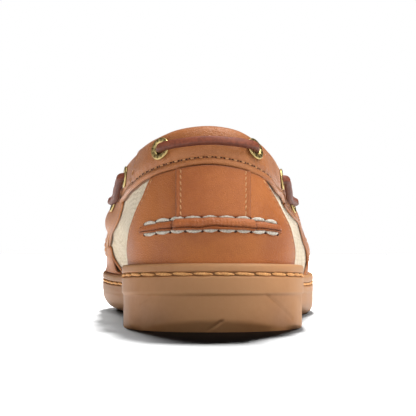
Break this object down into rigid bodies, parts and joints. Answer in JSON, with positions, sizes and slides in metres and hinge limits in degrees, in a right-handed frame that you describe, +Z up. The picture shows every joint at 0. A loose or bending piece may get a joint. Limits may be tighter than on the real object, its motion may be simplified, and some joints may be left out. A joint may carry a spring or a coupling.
{
  "type": "boat moccasin shoe",
  "caption": "Right-foot low boat moccasin: hollow leather and textile upper with padded collar and rawhide lace, on a stitched gum rubber cupsole.",
  "frame": {"origin": "on the floor under the middle of the shoe's box", "axes": "+Y towards the toe, +X towards the outer side of this right shoe, +Z up"},
  "size_m": [0.0952, 0.2628, 0.0733],
  "materials": {
    "gum_rubber": "matte gum rubber, slightly lighter at the rim",
    "lining_leather": "plain unfinished lining leather",
    "cream_textile": "coarse woven cream cloth",
    "tan_leather": "oiled tan leather, soft sheen",
    "rawhide": "waxed brown rawhide lace",
    "brass": "worn satin brass"
  },
  "bodies": {
    "root": {"outsole": "gum_rubber", "insole": "lining_leather", "upper": "cream_textile", "collar": "tan_leather", "collar_front": "tan_leather", "counter": "tan_leather", "back_tab": "tan_leather", "kicker_seam": "tan_leather", "saddle_medial": "tan_leather", "saddle_lateral": "tan_leather", "apron": "tan_leather", "tongue": "tan_leather", "lace_rear": "rawhide", "lace_medial": "rawhide", "lace_lateral": "rawhide", "lace_throat": "rawhide", "eyelet_rear_medial": "brass", "eyelet_rear_lateral": "brass", "eyelet_side_back_medial": "brass", "eyelet_side_back_lateral": "brass", "eyelet_side_front_medial": "brass", "eyelet_side_front_lateral": "brass", "eyelet_throat_lower_medial": "brass", "eyelet_throat_lower_lateral": "brass", "eyelet_throat_upper_medial": "brass", "eyelet_throat_upper_lateral": "brass"}
  },
  "joints": []
}
